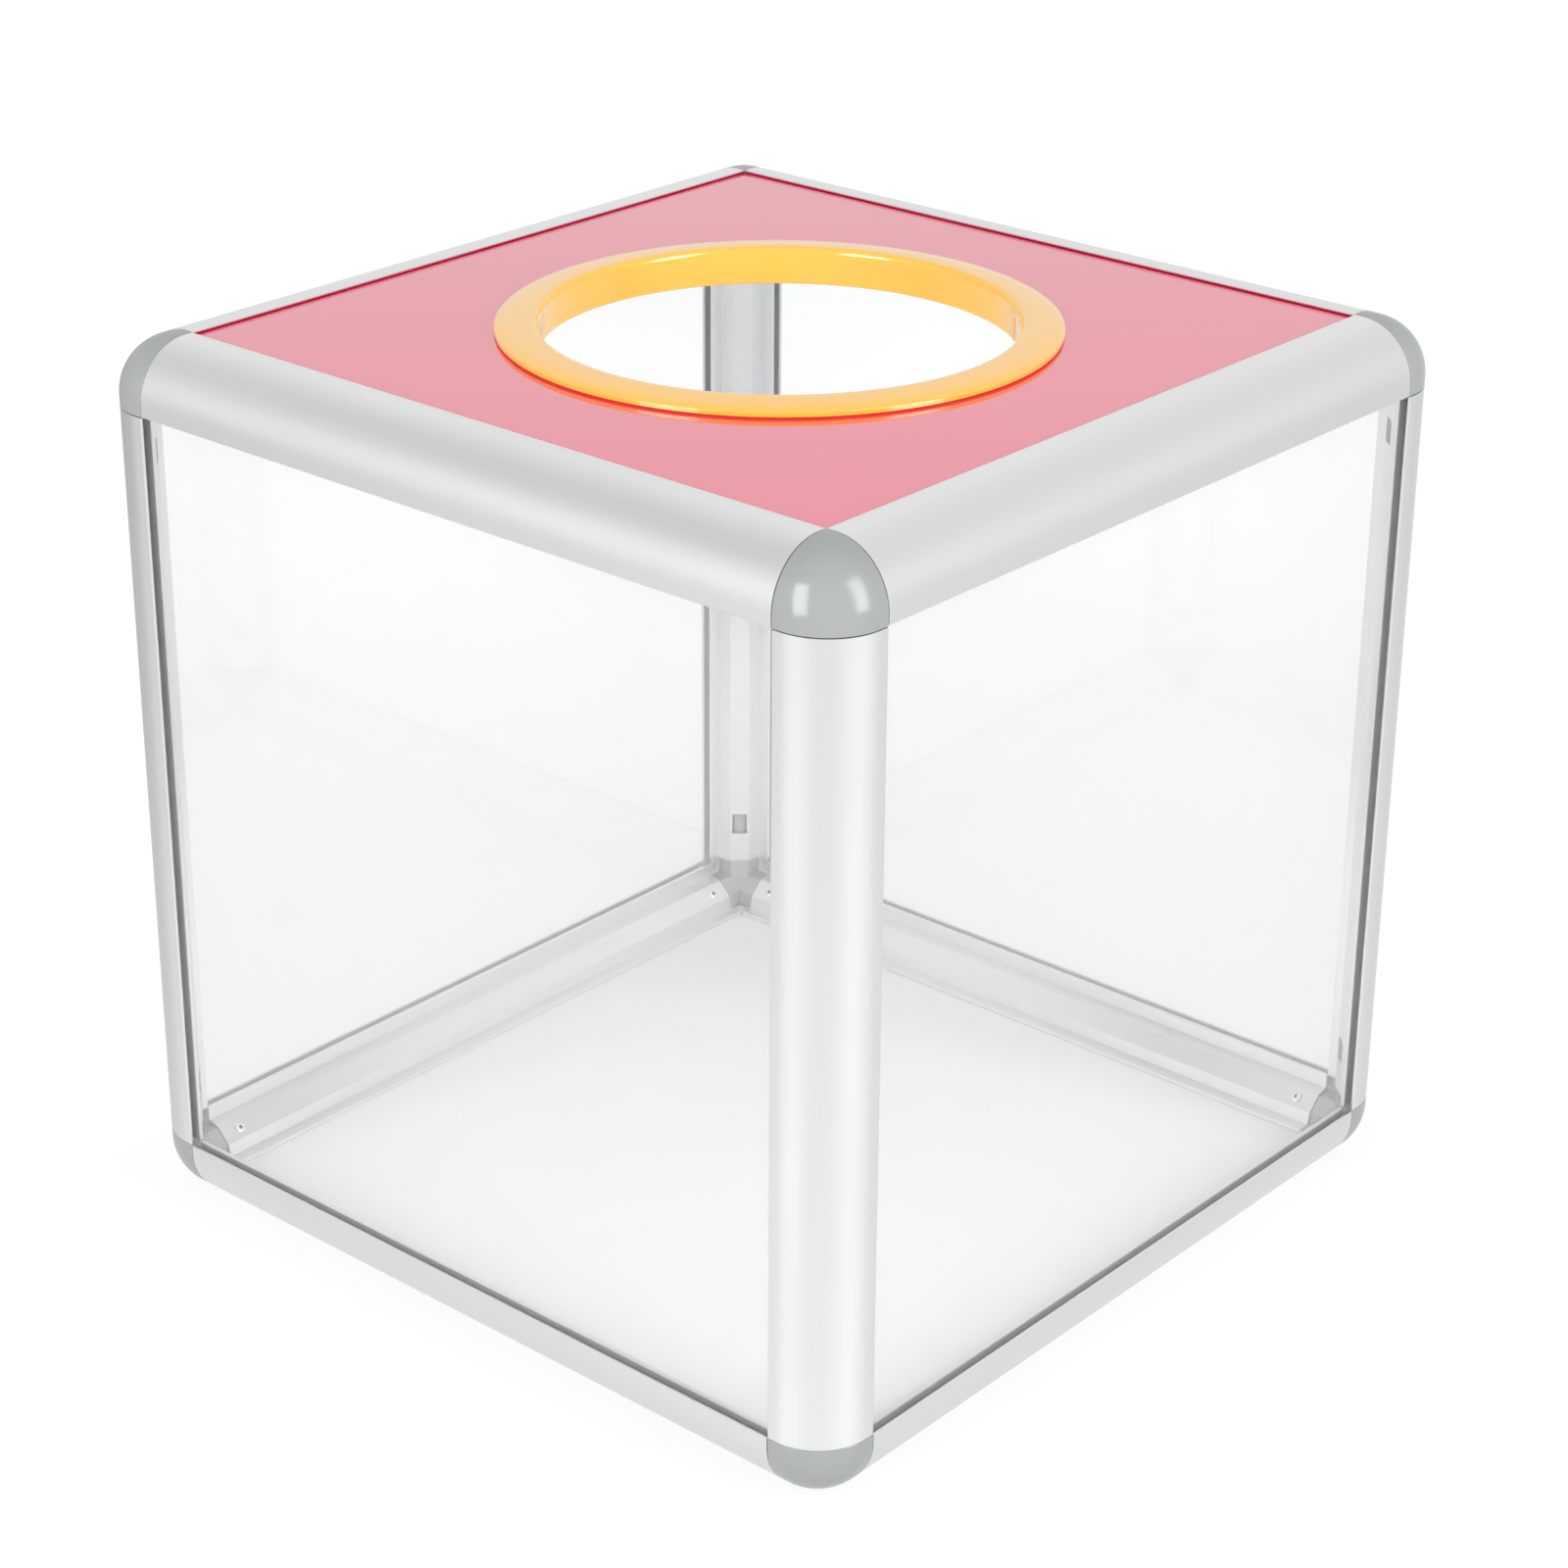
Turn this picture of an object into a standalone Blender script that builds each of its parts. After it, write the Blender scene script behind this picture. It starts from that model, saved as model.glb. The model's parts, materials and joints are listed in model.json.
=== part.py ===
"""Raffle box: an aluminium-framed cube with clear walls, a red lid panel and a yellow hand-hole ring.

Metres, +Z up. The origin is the middle of the underside, and the front wall faces -Y.
A frame section is drawn in a and b, the distances inward from the two outer faces that meet at
its edge of the box.
"""

import itertools
import math

import bmesh
import bpy
from mathutils import Matrix, Vector

# Whole box
BOX_EDGE = 0.200

# Frame section: a quarter-round extrusion with a panel slot in each of its two inner sides
PROFILE_SIZE = 0.0147
LIP_FLAT = 0.002
PROFILE_WALL = 0.001
OUTER_LIP = 0.0007
SLOT_DEPTH_SHARE = 0.29
INNER_LIP = 0.001
RIDGE_SETBACK = 0.0011
RIDGE_LEAN = 0.0007
CHAMBER_CUT_SHARE = 0.22
OUTER_ARC_STEPS = 12
INNER_ARC_STEPS = 8

# Panels and the play that they have in their slots
PANEL_THICKNESS = 0.002
PANEL_GAP = 0.0003
PANEL_PLAY = 0.001

# Corner connectors and their tenons
JOINT_GAP = 0.0003
TENON_CLEARANCE = 0.0003
TENON_PAST_WINDOW = 0.0053
TENON_LEAD = 0.0008
TENON_ROOT_SHARE = 0.7
CORNER_SETBACK = 0.00035
CORNER_STEPS = 10

# Snap windows in the posts
WINDOW_END_DISTANCE = 0.0102
WINDOW_HEIGHT = 0.005
WINDOW_MARGIN = 0.0006

# Rivets that hold the rails to the corner tenons
RIVET_END_DISTANCE = 0.0047
RIVET_HEAD_RADIUS = 0.0012
RIVET_HEAD_HEIGHT = 0.0005
RIVET_SHANK_RADIUS = 0.0007
RIVET_SHANK_LENGTH = 0.0036
RIVET_CLEARANCE = 0.0003
RIVET_GAP = 0.0002
RIVET_STEPS = 12
RIVET_DOME_STEPS = 2

# Ring that lines the hand hole, with its snap clips
RING_BORE_RADIUS = 0.050
RING_SKIRT_WALL = 0.002
RING_FLANGE_WIDTH = 0.007
RING_GAP = 0.0003
RING_EDGE_HEIGHT = 0.0006
RING_CREST_HEIGHT = 0.0026
RING_LIP_ROUND = 0.0014
RING_BELOW_PANEL = 0.0031
RING_STEPS = 64
RING_DOME_STEPS = 6
RING_LIP_STEPS = 3
CLIP_COUNT = 2
CLIP_BEARING = math.radians(45)
CLIP_WIDTH = 0.010
CLIP_BARB_MARGIN = 0.001
CLIP_SLIT = 0.0008
CLIP_SLIT_TOP = 0.0005
CLIP_REACH = 0.0011
CLIP_EDGE = 0.0006

# How far a cutter runs past what it cuts, and how near two points have to be to become one
OVERRUN = 0.001
MERGE_DISTANCE = 0.000005

# Angle beyond which an edge is shaded sharp
SHARP_ANGLE = math.radians(32)

# Places worked out from the sizes above
HALF_EDGE = BOX_EDGE / 2
ARC_RADIUS = PROFILE_SIZE - LIP_FLAT
CHAMBER_RADIUS = ARC_RADIUS - PROFILE_WALL
SLOT_OUTER = OUTER_LIP
SLOT_INNER = SLOT_OUTER + PANEL_PLAY + PANEL_THICKNESS + PANEL_GAP
SLOT_FLOOR = PROFILE_SIZE * (1 - SLOT_DEPTH_SHARE)
LIP_FACE = SLOT_INNER + INNER_LIP
RIDGE_FOOT = SLOT_FLOOR + RIDGE_SETBACK
RIDGE_TOP = RIDGE_FOOT - RIDGE_LEAN
CHAMBER_SIDE = SLOT_FLOOR - PROFILE_WALL
CHAMBER_SUM = CHAMBER_SIDE * (2 - CHAMBER_CUT_SHARE)
CHAMFER_SUM = CHAMBER_SUM + PROFILE_WALL * math.sqrt(2)
CHAMFER_WIDTH = (2 * RIDGE_TOP - CHAMFER_SUM) * math.sqrt(2)
CORNER_SUM = CHAMFER_SUM - CORNER_SETBACK * math.sqrt(2)
MEMBER_LENGTH = BOX_EDGE - 2 * (PROFILE_SIZE + JOINT_GAP)
WINDOW_PLACE = MEMBER_LENGTH / 2 - WINDOW_END_DISTANCE
WINDOW_WIDTH = CHAMFER_WIDTH - 2 * WINDOW_MARGIN
RIVET_PLACE = MEMBER_LENGTH / 2 - RIVET_END_DISTANCE
RIVET_HOLE_RADIUS = RIVET_SHANK_RADIUS + RIVET_CLEARANCE
RIVET_INSET = HALF_EDGE - RIVET_PLACE
TENON_RADIUS = CHAMBER_RADIUS - TENON_CLEARANCE
TENON_SIDE = CHAMBER_SIDE - TENON_CLEARANCE
TENON_SUM = CHAMBER_SUM - TENON_CLEARANCE * math.sqrt(2)
TENON_ROOT = ARC_RADIUS - TENON_ROOT_SHARE * math.sqrt(ARC_RADIUS**2 - TENON_RADIUS**2)
TENON_END = HALF_EDGE - WINDOW_PLACE + WINDOW_HEIGHT / 2 + TENON_PAST_WINDOW
PANEL_INSET = SLOT_FLOOR + PANEL_GAP
PANEL_HALF = HALF_EDGE - PANEL_INSET
PANEL_ON_INNER_LIP = SLOT_INNER - PANEL_GAP - PANEL_THICKNESS
PANEL_ON_OUTER_LIP = SLOT_OUTER + PANEL_GAP
SKIRT_RADIUS = RING_BORE_RADIUS + RING_SKIRT_WALL
RING_FLANGE_RADIUS = SKIRT_RADIUS + RING_FLANGE_WIDTH
PANEL_HOLE_RADIUS = SKIRT_RADIUS + RING_GAP
SKIRT_BOTTOM = -(PANEL_THICKNESS + RING_BELOW_PANEL)
CLIP_TOP = -(PANEL_THICKNESS + RING_GAP)

INTO_BOX = {
    "left": Vector((1, 0, 0)),
    "right": Vector((-1, 0, 0)),
    "front": Vector((0, 1, 0)),
    "back": Vector((0, -1, 0)),
    "bottom": Vector((0, 0, 1)),
    "top": Vector((0, 0, -1)),
}
SIDES = ("front", "back", "left", "right")
CORNERS = tuple(itertools.product(("front", "back"), ("left", "right")))
BOX_CENTRE = Vector((0, 0, HALF_EDGE))

# A turn of a corner's axes that puts each of them in the place of the next
CYCLE = Matrix(((0, 0, 1, 0), (1, 0, 0, 0), (0, 1, 0, 0), (0, 0, 0, 1)))


def clear_scene():
    for old in list(bpy.data.objects):
        bpy.data.objects.remove(old)


def make_material(name, colour, roughness, metallic=0.0, alpha=1.0, transmission=0.0):
    material = bpy.data.materials.new(name)
    material.use_nodes = True
    shader = material.node_tree.nodes["Principled BSDF"]
    shader.inputs["Base Color"].default_value = (*colour, 1.0)
    shader.inputs["Roughness"].default_value = roughness
    shader.inputs["Metallic"].default_value = metallic
    shader.inputs["Alpha"].default_value = alpha
    shader.inputs["Transmission Weight"].default_value = transmission
    material.diffuse_color = (*colour, alpha)
    return material


def new_empty(name, place):
    empty = bpy.data.objects.new(name, None)
    empty.location = place
    bpy.context.scene.collection.objects.link(empty)
    return empty


def place_mesh(name, mesh, material, matrix, parent):
    """A named piece on a mesh, which its copies share, placed in the world and carried by its frame."""
    if not mesh.materials:
        mesh.materials.append(material)
    piece = bpy.data.objects.new(name, mesh)
    bpy.context.scene.collection.objects.link(piece)
    piece.parent = parent
    piece.matrix_parent_inverse = Matrix.Translation(-parent.location)
    piece.matrix_basis = matrix
    return piece


def finished_mesh(name, bm):
    """The mesh of a bmesh, with its faces pointing out and its round parts shaded smooth."""
    bmesh.ops.recalc_face_normals(bm, faces=bm.faces)
    mesh = bpy.data.meshes.new(name)
    bm.to_mesh(mesh)
    bm.free()
    mesh.shade_smooth()
    mesh.set_sharp_from_angle(angle=SHARP_ANGLE)
    return mesh


def worked_mesh(name, body, added=(), cut=()):
    """A new mesh: the body's, with some meshes joined to it and then some taken away."""
    scratch = [bpy.data.objects.new(name, body)]
    for operation, tools in (("UNION", added), ("DIFFERENCE", cut)):
        for tool_mesh in tools:
            tool = bpy.data.objects.new(f"{name}_{operation.lower()}", tool_mesh)
            tool.hide_render = True
            tool.display_type = "WIRE"
            boolean = scratch[0].modifiers.new(tool.name, "BOOLEAN")
            boolean.operation = operation
            boolean.object = tool
            scratch.append(tool)
    for thing in scratch:
        bpy.context.scene.collection.objects.link(thing)
    bpy.context.view_layer.update()
    seen = scratch[0].evaluated_get(bpy.context.evaluated_depsgraph_get())
    bm = bmesh.new()
    bm.from_mesh(seen.to_mesh())
    for thing in scratch:
        bpy.data.objects.remove(thing)
    return finished_mesh(name, bm)


def turned(mesh, matrix):
    """A copy of a mesh, moved by a matrix."""
    copy = mesh.copy()
    copy.transform(matrix)
    return copy


def block(name, low, high):
    """A box between two corners."""
    bm = bmesh.new()
    size = Vector(high) - Vector(low)
    middle = (Vector(high) + Vector(low)) / 2
    matrix = Matrix.Translation(middle) @ Matrix.Diagonal(size).to_4x4()
    bmesh.ops.create_cube(bm, size=1.0, matrix=matrix)
    return finished_mesh(name, bm)


def section_arc(centre, radius, start, end, steps):
    """Points of a round whose centre is equally far from both outer faces, from the b = 0 side."""
    angles = (start + (end - start) * step / steps for step in range(steps + 1))
    return [(centre - radius * math.sin(angle), centre - radius * math.cos(angle)) for angle in angles]


def exchanged(points):
    """The same points across the section's diagonal, in the order that closes the outline."""
    return [(b, a) for a, b in reversed(points)]


def profile_outline():
    """The extrusion's outer outline: round outside, a slot on each side, a ridge and chamfer inside."""
    half = [
        (RIDGE_TOP, CHAMFER_SUM - RIDGE_TOP),
        (RIDGE_FOOT, LIP_FACE),
        (PROFILE_SIZE, LIP_FACE),
        (PROFILE_SIZE, SLOT_INNER),
        (SLOT_FLOOR, SLOT_INNER),
        (SLOT_FLOOR, SLOT_OUTER),
        (PROFILE_SIZE, SLOT_OUTER),
        (PROFILE_SIZE, 0),
    ]
    return half + section_arc(ARC_RADIUS, ARC_RADIUS, 0, math.pi / 2, OUTER_ARC_STEPS) + exchanged(half)


def chamber_outline(radius, side, corner_sum):
    """The hollow that runs through an extrusion, or the tenon that fits it."""
    start = math.asin((ARC_RADIUS - side) / radius)
    arc = section_arc(ARC_RADIUS, radius, start, math.pi / 2 - start, INNER_ARC_STEPS)
    return [(side, corner_sum - side), *arc, (corner_sum - side, side)]


def prism(name, outlines, low, high, lead=0):
    """The area inside the first outline and outside the others, drawn out along Z to a lead-in."""
    bm = bmesh.new()
    loops = [[bm.verts.new((a, b, low)) for a, b in outline] for outline in outlines]
    if len(loops) == 1:
        faces = [bm.faces.new(loops[0])]
    else:
        edges = [bm.edges.new(pair) for loop in loops for pair in zip(loop, loop[1:] + loop[:1])]
        filled = bmesh.ops.triangle_fill(bm, edges=edges, use_beauty=True)["geom"]
        faces = [found for found in filled if isinstance(found, bmesh.types.BMFace)]
    end = draw_out(bm, faces, high - lead - low)
    if lead:
        rim = {point for face in draw_out(bm, end, lead) for point in face.verts}
        bmesh.ops.delete(bm, geom=end, context="FACES_ONLY")
        middle = sum((point.co for point in rim), Vector()) / len(rim)
        widest = max((point.co - middle).length for point in rim)
        for point in rim:
            point.co = middle + (point.co - middle) * (1 - lead / widest)
    return finished_mesh(name, bm)


def draw_out(bm, faces, distance):
    """Extrudes faces along Z and gives the faces at their new end."""
    drawn = bmesh.ops.extrude_face_region(bm, geom=faces)["geom"]
    moved = [found for found in drawn if isinstance(found, bmesh.types.BMVert)]
    bmesh.ops.translate(bm, verts=moved, vec=(0, 0, distance))
    return [found for found in drawn if isinstance(found, bmesh.types.BMFace)]


def turned_body(name, profile, steps):
    """A profile of (radius, height) points turned about Z, closed at the axis or back on itself."""
    bm = bmesh.new()
    on_axis = profile[0][0] == 0
    points = [bm.verts.new((radius, 0, height)) for radius, height in profile]
    pairs = zip(points, points[1:]) if on_axis else zip(points, points[1:] + points[:1])
    edges = [bm.edges.new(pair) for pair in pairs]
    bmesh.ops.spin(
        bm,
        geom=points + edges,
        cent=(0, 0, 0),
        axis=(0, 0, 1),
        angle=2 * math.pi,
        steps=steps,
        use_merge=True,
    )
    bmesh.ops.remove_doubles(bm, verts=bm.verts, dist=MERGE_DISTANCE)
    return finished_mesh(name, bm)


def chamfer_frame(place):
    """Axes at a place along a member: Z leaves the chamfer's middle, and X runs along the member."""
    out = Vector((1, 1, 0)).normalized()
    along = Vector((0, 0, 1))
    across = out.cross(along)
    rows = Matrix((along, across, out)).transposed().to_4x4()
    return Matrix.Translation((CHAMFER_SUM / 2, CHAMFER_SUM / 2, place)) @ rows


def window_cutter():
    half_height = WINDOW_HEIGHT / 2
    half_width = WINDOW_WIDTH / 2
    return block(
        "window_cutter",
        (-half_height, -half_width, -PROFILE_WALL - TENON_CLEARANCE),
        (half_height, half_width, OVERRUN),
    )


def rivet_cutter():
    bottom = -(RIVET_SHANK_LENGTH + RIVET_CLEARANCE)
    profile = [(0, OVERRUN), (RIVET_HOLE_RADIUS, OVERRUN), (RIVET_HOLE_RADIUS, bottom), (0, bottom)]
    return turned_body("rivet_cutter", profile, RIVET_STEPS)


def rivet_mesh():
    """A dome head that sits on the chamfer, and a shank that passes through it into the tenon."""
    dome = []
    for step in range(RIVET_DOME_STEPS + 1):
        angle = math.pi / 2 * (1 - step / RIVET_DOME_STEPS)
        radius = RIVET_HEAD_RADIUS * math.cos(angle) if step else 0
        dome.append((radius, RIVET_GAP + RIVET_HEAD_HEIGHT * math.sin(angle)))
    shank = [
        (RIVET_SHANK_RADIUS, RIVET_GAP),
        (RIVET_SHANK_RADIUS, -RIVET_SHANK_LENGTH),
        (0, -RIVET_SHANK_LENGTH),
    ]
    return turned_body("rivet", dome + shank, RIVET_STEPS)


def member_mesh(name, cutter, place):
    """A frame extrusion along Z, its outer edge on the Z axis, cut near both ends."""
    outlines = [profile_outline(), chamber_outline(CHAMBER_RADIUS, CHAMBER_SIDE, CHAMBER_SUM)]
    body = prism(name, outlines, -MEMBER_LENGTH / 2, MEMBER_LENGTH / 2)
    return worked_mesh(name, body, cut=[turned(cutter, chamfer_frame(end * place)) for end in (-1, 1)])


def rounded_corner():
    """A corner's outer body: a cube whose three outer edges and outer point are rounded."""
    bm = bmesh.new()
    half = PROFILE_SIZE / 2
    bmesh.ops.create_cube(bm, size=PROFILE_SIZE, matrix=Matrix.Translation((half, half, half)))
    outer = min(bm.verts, key=lambda point: point.co.length)
    bmesh.ops.bevel(
        bm,
        geom=[outer, *outer.link_edges],
        offset=ARC_RADIUS,
        offset_type="OFFSET",
        segments=CORNER_STEPS,
        profile=0.5,
        affect="EDGES",
    )
    return finished_mesh("corner_body", bm)


def pocket(direction):
    """The room in a corner for the corner of the panel that lies square to one of its axes."""
    low = Vector((SLOT_FLOOR, SLOT_FLOOR, SLOT_FLOOR))
    low[direction] = SLOT_OUTER
    high = PROFILE_SIZE + OVERRUN
    return block("pocket", low, (high, high, high))


def inside_cone():
    """The three planes that set a corner's inner faces back behind the chamfers they join."""
    bm = bmesh.new()
    apex = Vector((CORNER_SUM, CORNER_SUM, CORNER_SUM)) / 2
    reach = 2 * PROFILE_SIZE
    far = [apex + reach * Vector(way) for way in ((-1, 1, 1), (1, -1, 1), (1, 1, -1))]
    bmesh.ops.convex_hull(bm, input=[bm.verts.new(point) for point in (apex, *far)])
    return finished_mesh("inside_cone", bm)


def corner_mesh():
    """A three-way corner in the axes of its own outer point, with a tenon along each of them."""
    outline = chamber_outline(TENON_RADIUS, TENON_SIDE, TENON_SUM)
    tenon = prism("tenon", [outline], TENON_ROOT, TENON_END, TENON_LEAD)
    tenons = [turned(tenon, turn) for turn in (Matrix(), CYCLE, CYCLE @ CYCLE)]
    bore = turned(rivet_cutter(), chamfer_frame(RIVET_INSET))
    bores = [turned(bore, turn) for turn in (CYCLE, CYCLE @ CYCLE)]
    pockets = [pocket(direction) for direction in range(3)]
    shell = worked_mesh("corner", rounded_corner(), cut=[*pockets, inside_cone()])
    return worked_mesh("corner", shell, added=tenons, cut=bores)


def plate_mesh(name, hole_radius=0):
    """A square panel whose outer face is at Z = 0 and whose inner face is one thickness above it."""
    half = PANEL_HALF
    outlines = [[(-half, -half), (half, -half), (half, half), (-half, half)]]
    if hole_radius:
        angles = [2 * math.pi * step / RING_STEPS for step in range(RING_STEPS)]
        outlines.append([(hole_radius * math.cos(turn), hole_radius * math.sin(turn)) for turn in angles])
    return prism(name, outlines, 0, PANEL_THICKNESS)


def ring_profile():
    """The ring's section, with heights counted from the panel's upper face."""
    edge_top = RING_GAP + RING_EDGE_HEIGHT
    crest_radius = RING_BORE_RADIUS + RING_LIP_ROUND
    points = [(RING_FLANGE_RADIUS, RING_GAP)]
    for step in range(RING_DOME_STEPS + 1):
        angle = math.pi / 2 * step / RING_DOME_STEPS
        points.append((
            crest_radius + (RING_FLANGE_RADIUS - crest_radius) * math.cos(angle),
            edge_top + (RING_CREST_HEIGHT - edge_top) * math.sin(angle),
        ))
    for step in range(1, RING_LIP_STEPS + 1):
        angle = math.pi / 2 * step / RING_LIP_STEPS
        points.append((
            crest_radius - RING_LIP_ROUND * math.sin(angle),
            RING_CREST_HEIGHT - RING_LIP_ROUND * (1 - math.cos(angle)),
        ))
    points += [(RING_BORE_RADIUS, SKIRT_BOTTOM), (SKIRT_RADIUS, SKIRT_BOTTOM), (SKIRT_RADIUS, RING_GAP)]
    return points


def clip_barb():
    """The wedge outside one snap finger, which catches under the panel."""
    root = SKIRT_RADIUS - RING_SKIRT_WALL / 2
    tip = SKIRT_RADIUS + CLIP_REACH
    side = [
        (root, CLIP_TOP),
        (tip, CLIP_TOP),
        (tip, CLIP_TOP - CLIP_EDGE),
        (root, SKIRT_BOTTOM + CLIP_EDGE),
    ]
    half_width = CLIP_WIDTH / 2 - CLIP_BARB_MARGIN
    barb = prism("clip_barb", [side], -half_width, half_width)
    return turned(barb, Matrix.Rotation(math.pi / 2, 4, "X"))


def clip_slits():
    """The two saw cuts that free one snap finger from the skirt."""
    low = SKIRT_BOTTOM - OVERRUN
    for side in (-1, 1):
        middle = side * (CLIP_WIDTH + CLIP_SLIT) / 2
        yield block(
            "clip_slit",
            (RING_BORE_RADIUS - OVERRUN, middle - CLIP_SLIT / 2, low),
            (SKIRT_RADIUS + OVERRUN, middle + CLIP_SLIT / 2, -CLIP_SLIT_TOP),
        )


def ring_mesh():
    bearings = [CLIP_BEARING + 2 * math.pi * index / CLIP_COUNT for index in range(CLIP_COUNT)]
    turns = [Matrix.Rotation(bearing, 4, "Z") for bearing in bearings]
    barbs = [turned(clip_barb(), turn) for turn in turns]
    slits = [turned(slit, turn) for turn in turns for slit in clip_slits()]
    return worked_mesh("ring", turned_body("ring", ring_profile(), RING_STEPS), added=barbs, cut=slits)


def outward(*names):
    """The point of the box's outside that lies farthest towards the named sides."""
    return BOX_CENTRE - HALF_EDGE * sum((INTO_BOX[name] for name in names), Vector())


def member_matrix(first, second):
    """Where the edge between two faces of the box puts a member that is drawn along Z."""
    across = (INTO_BOX[first], INTO_BOX[second])
    rows = Matrix((*across, across[0].cross(across[1]))).transposed().to_4x4()
    return Matrix.Translation(outward(first, second)) @ rows


def corner_matrix(level, depth, width):
    """Where a corner of the box puts a corner piece, its third axis upright."""
    across = [INTO_BOX[depth], INTO_BOX[width]]
    if across[0].cross(across[1]).dot(INTO_BOX[level]) < 0:
        across.reverse()
    rows = Matrix((*across, INTO_BOX[level])).transposed().to_4x4()
    return Matrix.Translation(outward(level, depth, width)) @ rows


def panel_matrix(side, inset):
    """Where a face of the box puts a panel whose outer face lies inset behind it."""
    inward = INTO_BOX[side]
    turn = Vector((0, 0, 1)).rotation_difference(inward).to_matrix().to_4x4()
    return Matrix.Translation(outward(side) + inset * inward) @ turn


def ring_matrix():
    """The hand hole's axis, at the height of the lid panel's upper face."""
    return Matrix.Translation(outward("top") + PANEL_ON_OUTER_LIP * INTO_BOX["top"])


def build_posts(material, base):
    post = member_mesh("post", window_cutter(), WINDOW_PLACE)
    for depth, width in CORNERS:
        place_mesh(f"post_{depth}_{width}", post, material, member_matrix(depth, width), base)


def build_rails(material, rivet_material, frames):
    rail = member_mesh("rail", rivet_cutter(), RIVET_PLACE)
    rivet = rivet_mesh()
    for (level, frame), side in itertools.product(frames.items(), SIDES):
        matrix = member_matrix(level, side)
        place_mesh(f"{level}_rail_{side}", rail, material, matrix, frame)
        for number, end in ((1, -1), (2, 1)):
            rivet_place = matrix @ chamfer_frame(end * RIVET_PLACE)
            place_mesh(f"{level}_rivet_{side}_{number}", rivet, rivet_material, rivet_place, frame)


def build_corners(material, frames):
    corner = corner_mesh()
    for (level, frame), (depth, width) in itertools.product(frames.items(), CORNERS):
        matrix = corner_matrix(level, depth, width)
        place_mesh(f"{level}_corner_{depth}_{width}", corner, material, matrix, frame)


def build_side_panels(material, base):
    plate = plate_mesh("side_panel")
    for side in SIDES:
        place_mesh(f"side_panel_{side}", plate, material, panel_matrix(side, PANEL_ON_INNER_LIP), base)


def build_bottom_panel(material, base):
    matrix = panel_matrix("bottom", PANEL_ON_OUTER_LIP)
    place_mesh("bottom_panel", plate_mesh("bottom_panel"), material, matrix, base)


def build_lid(material, ring_material, lid):
    plate = plate_mesh("top_panel", PANEL_HOLE_RADIUS)
    place_mesh("top_panel", plate, material, panel_matrix("top", PANEL_ON_OUTER_LIP), lid)
    place_mesh("hand_hole_ring", ring_mesh(), ring_material, ring_matrix(), lid)


def main():
    clear_scene()
    aluminium = make_material("anodised_aluminium", (0.80, 0.81, 0.81), 0.34, metallic=1.0)
    rivet_metal = make_material("rivet_aluminium", (0.78, 0.79, 0.80), 0.25, metallic=1.0)
    grey_plastic = make_material("grey_plastic", (0.45, 0.50, 0.49), 0.22)
    clear_acrylic = make_material("clear_acrylic", (0.96, 0.97, 0.98), 0.03, alpha=0.15, transmission=1.0)
    red_acrylic = make_material("red_acrylic", (0.72, 0.05, 0.12), 0.08)
    white_board = make_material("white_board", (0.88, 0.88, 0.89), 0.45)
    yellow_plastic = make_material("yellow_plastic", (0.98, 0.56, 0.06), 0.18)

    base = new_empty("base_frame", (0, 0, 0))
    lid = new_empty("top_frame", (0, 0, BOX_EDGE - PROFILE_SIZE))
    frames = {"bottom": base, "top": lid}

    build_posts(aluminium, base)
    build_rails(aluminium, rivet_metal, frames)
    build_corners(grey_plastic, frames)
    build_side_panels(clear_acrylic, base)
    build_bottom_panel(white_board, base)
    build_lid(red_acrylic, yellow_plastic, lid)


main()
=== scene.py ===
import itertools
import json
import math

import bmesh
import bpy
from mathutils import Matrix, Quaternion, Vector


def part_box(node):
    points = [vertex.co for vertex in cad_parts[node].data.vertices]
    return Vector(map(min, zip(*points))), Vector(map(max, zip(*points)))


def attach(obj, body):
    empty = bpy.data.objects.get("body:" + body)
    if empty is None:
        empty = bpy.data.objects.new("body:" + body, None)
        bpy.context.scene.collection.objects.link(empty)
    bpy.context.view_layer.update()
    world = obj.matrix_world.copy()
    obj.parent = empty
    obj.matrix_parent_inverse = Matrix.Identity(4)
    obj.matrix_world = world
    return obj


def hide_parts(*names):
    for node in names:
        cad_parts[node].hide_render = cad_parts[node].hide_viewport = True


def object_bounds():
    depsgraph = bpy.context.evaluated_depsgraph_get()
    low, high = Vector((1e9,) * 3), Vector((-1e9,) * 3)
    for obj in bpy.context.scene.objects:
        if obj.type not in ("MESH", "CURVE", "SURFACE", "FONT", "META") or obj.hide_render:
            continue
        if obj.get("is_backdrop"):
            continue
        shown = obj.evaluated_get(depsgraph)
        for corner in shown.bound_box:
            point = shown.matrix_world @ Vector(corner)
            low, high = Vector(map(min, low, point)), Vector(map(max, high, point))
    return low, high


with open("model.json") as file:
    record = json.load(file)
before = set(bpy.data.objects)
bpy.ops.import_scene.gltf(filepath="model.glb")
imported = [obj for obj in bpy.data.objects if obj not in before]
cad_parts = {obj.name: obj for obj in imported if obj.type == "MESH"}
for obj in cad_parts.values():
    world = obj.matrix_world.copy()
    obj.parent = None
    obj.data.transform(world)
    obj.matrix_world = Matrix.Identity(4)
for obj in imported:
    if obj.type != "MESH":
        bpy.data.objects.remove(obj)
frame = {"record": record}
CAD_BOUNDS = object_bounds()

# Camera, fitted to the edges of the box in the photograph
CAMERA_PLACE = (0.478231, -0.550823, 0.428476)
CAMERA_YAW = math.radians(40.843)
CAMERA_PITCH = math.radians(24.5547)
CAMERA_ROLL = math.radians(0.3832)
CAMERA_LENS = 84.197
CAMERA_SENSOR = 36.0

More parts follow.
